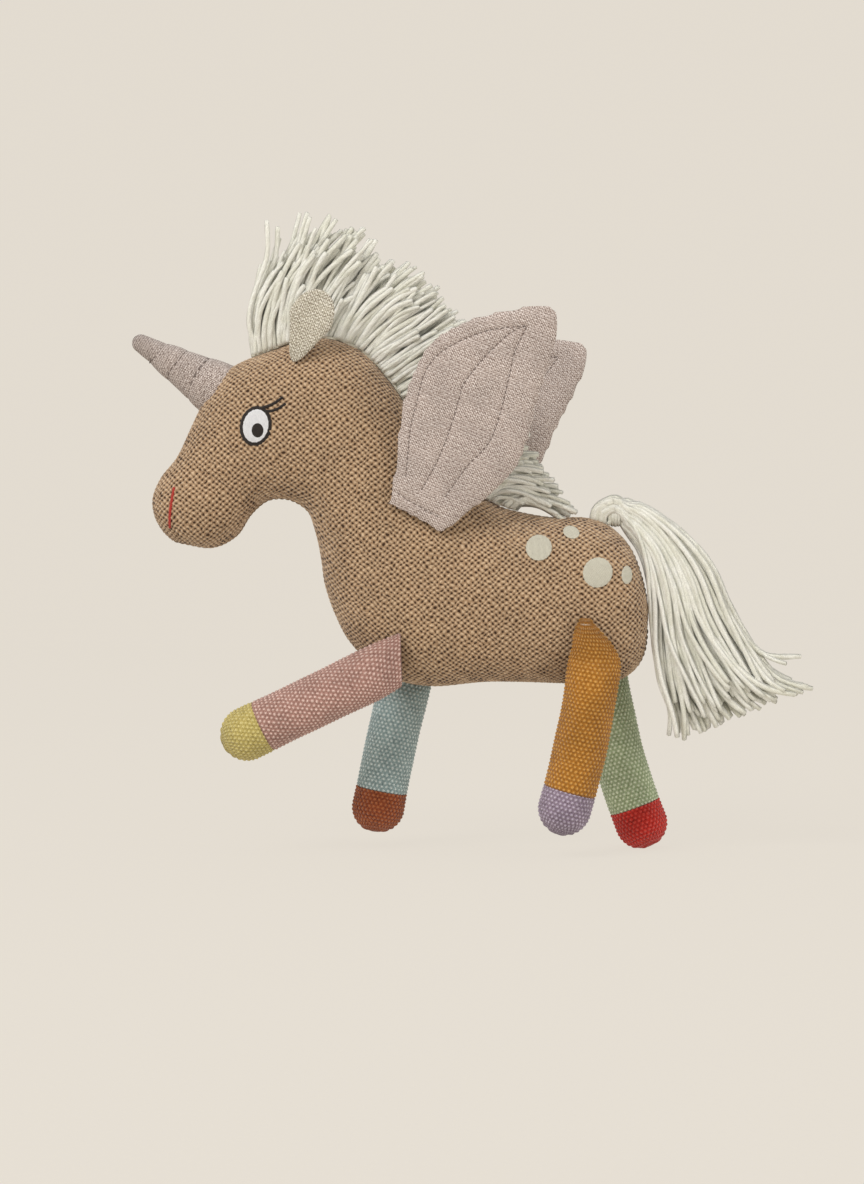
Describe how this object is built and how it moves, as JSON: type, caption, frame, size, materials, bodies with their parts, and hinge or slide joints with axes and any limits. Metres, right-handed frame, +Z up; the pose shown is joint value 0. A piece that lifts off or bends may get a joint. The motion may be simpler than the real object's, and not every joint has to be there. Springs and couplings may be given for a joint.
{
  "type": "plush winged unicorn",
  "caption": "Knitted plush winged unicorn: stuffed body, four sewn-on swinging legs, flapping quilted wings, folding ears, horn, yarn mane and tail.",
  "frame": {"origin": "on the ground plane under the middle of the whole toy, from horn tip to tail tip and from wing to wing; the lowest hoof touches Z = 0", "axes": "+Z up; -X towards the muzzle and horn, +X towards the tail; -Y is the unicorn's left side"},
  "size_m": [0.4041, 0.1224, 0.3825],
  "materials": {
    "knit_tan": "tan-brown moss-stitch knit",
    "seam_thread": "sewn seam of the two body panels",
    "knit_mauve": "fine dusty-mauve heathered knit",
    "knit_cream": "fine cream knit",
    "knit_pink": "dusty-pink knit",
    "knit_yellow": "soft yellow knit",
    "knit_blue": "blue-grey knit",
    "knit_rust": "rust-brown knit",
    "knit_mustard": "mustard knit",
    "knit_lilac": "lilac-grey knit",
    "knit_sage": "sage-green knit",
    "knit_red": "red knit",
    "thread_grey": "dark mauve quilting thread",
    "embroidery_white": "white satin-stitch embroidery",
    "embroidery_black": "black satin-stitch embroidery",
    "embroidery_red": "red stitch",
    "embroidery_cream": "cream satin-stitch embroidery",
    "yarn_cream": "off-white mane and tail yarn",
    "tape_cream": "woven cotton tape",
    "fibre_fill": "white polyester fibre fill"
  },
  "bodies": {
    "torso": {"body_panel_left": "knit_tan", "body_panel_right": "knit_tan", "body_seam": "seam_thread", "body_stuffing": "fibre_fill", "horn_cover": "knit_mauve", "horn_stuffing": "fibre_fill", "horn_stitching": "thread_grey", "eye_left_white": "embroidery_white", "eye_left_outline": "embroidery_black", "eye_left_pupil": "embroidery_black", "eye_right_white": "embroidery_white", "eye_right_outline": "embroidery_black", "eye_right_pupil": "embroidery_black", "mouth_stitch_left": "embroidery_red", "mouth_stitch_right": "embroidery_red", "spots_left": "embroidery_cream", "spots_right": "embroidery_cream", "mane_tape": "tape_cream", "mane_forelock": "yarn_cream", "mane_poll": "yarn_cream", "mane_crest": "yarn_cream", "mane_nape": "yarn_cream", "mane_shoulder": "yarn_cream", "mane_withers": "yarn_cream"},
    "front_left_leg": {"front_left_sleeve": "knit_pink", "front_left_hoof": "knit_yellow", "front_left_stuffing": "fibre_fill"},
    "front_right_leg": {"front_right_sleeve": "knit_blue", "front_right_hoof": "knit_rust", "front_right_stuffing": "fibre_fill"},
    "hind_left_leg": {"hind_left_sleeve": "knit_mustard", "hind_left_hoof": "knit_lilac", "hind_left_stuffing": "fibre_fill"},
    "hind_right_leg": {"hind_right_sleeve": "knit_sage", "hind_right_hoof": "knit_red", "hind_right_stuffing": "fibre_fill"},
    "left_wing": {"wing_left_outer": "knit_mauve", "wing_left_inner": "knit_mauve", "wing_left_batting": "fibre_fill"},
    "right_wing": {"wing_right_outer": "knit_mauve", "wing_right_inner": "knit_mauve", "wing_right_batting": "fibre_fill"},
    "left_ear": {"ear_left_back": "knit_mauve", "ear_left_front": "knit_cream"},
    "right_ear": {"ear_right_back": "knit_mauve", "ear_right_front": "knit_cream"},
    "tail_root": {"tail_knot": "yarn_cream"},
    "tail": {"tail_upper_lock": "yarn_cream", "tail_middle_lock": "yarn_cream", "tail_lower_lock": "yarn_cream"}
  },
  "joints": [
    {"name": "front_left_leg_swing", "type": "hinge", "parent": "torso", "child": "front_left_leg", "pos_m": [-0.039, -0.0363, 0.11554], "axis": [0, 1, 0], "range_deg": [-50, 12], "stiffness_Nm_per_rad": 0.2},
    {"name": "front_right_leg_swing", "type": "hinge", "parent": "torso", "child": "front_right_leg", "pos_m": [-0.033, 0.0368, 0.12054], "axis": [0, 1, 0], "range_deg": [-35, 45], "stiffness_Nm_per_rad": 0.2},
    {"name": "hind_left_leg_swing", "type": "hinge", "parent": "torso", "child": "hind_left_leg", "pos_m": [0.078, -0.0391, 0.12154], "axis": [0, 1, 0], "range_deg": [-35, 35], "stiffness_Nm_per_rad": 0.2},
    {"name": "hind_right_leg_swing", "type": "hinge", "parent": "torso", "child": "hind_right_leg", "pos_m": [0.08, 0.0378, 0.11954], "axis": [0, 1, 0], "range_deg": [-30, 40], "stiffness_Nm_per_rad": 0.2},
    {"name": "left_wing_flap", "type": "hinge", "parent": "torso", "child": "left_wing", "pos_m": [-0.028, -0.038, 0.19954], "axis": [0.8716, 0, -0.4903], "range_deg": [-6, 60], "stiffness_Nm_per_rad": 0.25},
    {"name": "right_wing_flap", "type": "hinge", "parent": "torso", "child": "right_wing", "pos_m": [-0.028, 0.038, 0.19954], "axis": [-0.7842, 0, 0.6206], "range_deg": [-6, 60], "stiffness_Nm_per_rad": 0.25},
    {"name": "left_ear_fold", "type": "hinge", "parent": "torso", "child": "left_ear", "pos_m": [-0.101, -0.0273, 0.29254], "axis": [0.9135, 0, -0.4067], "range_deg": [-12, 40], "stiffness_Nm_per_rad": 0.05},
    {"name": "right_ear_fold", "type": "hinge", "parent": "torso", "child": "right_ear", "pos_m": [-0.101, 0.0273, 0.29254], "axis": [-0.9135, 0, 0.4067], "range_deg": [-12, 40], "stiffness_Nm_per_rad": 0.05},
    {"name": "tail_lift", "type": "hinge", "parent": "torso", "child": "tail_root", "pos_m": [0.08998, 0, 0.20166], "axis": [0, -1, 0], "range_deg": [0, 40]},
    {"name": "tail_sway", "type": "hinge", "parent": "tail_root", "child": "tail", "pos_m": [0.08998, 0, 0.20166], "axis": [0, 0, 1], "range_deg": [-20, 20]}
  ]
}
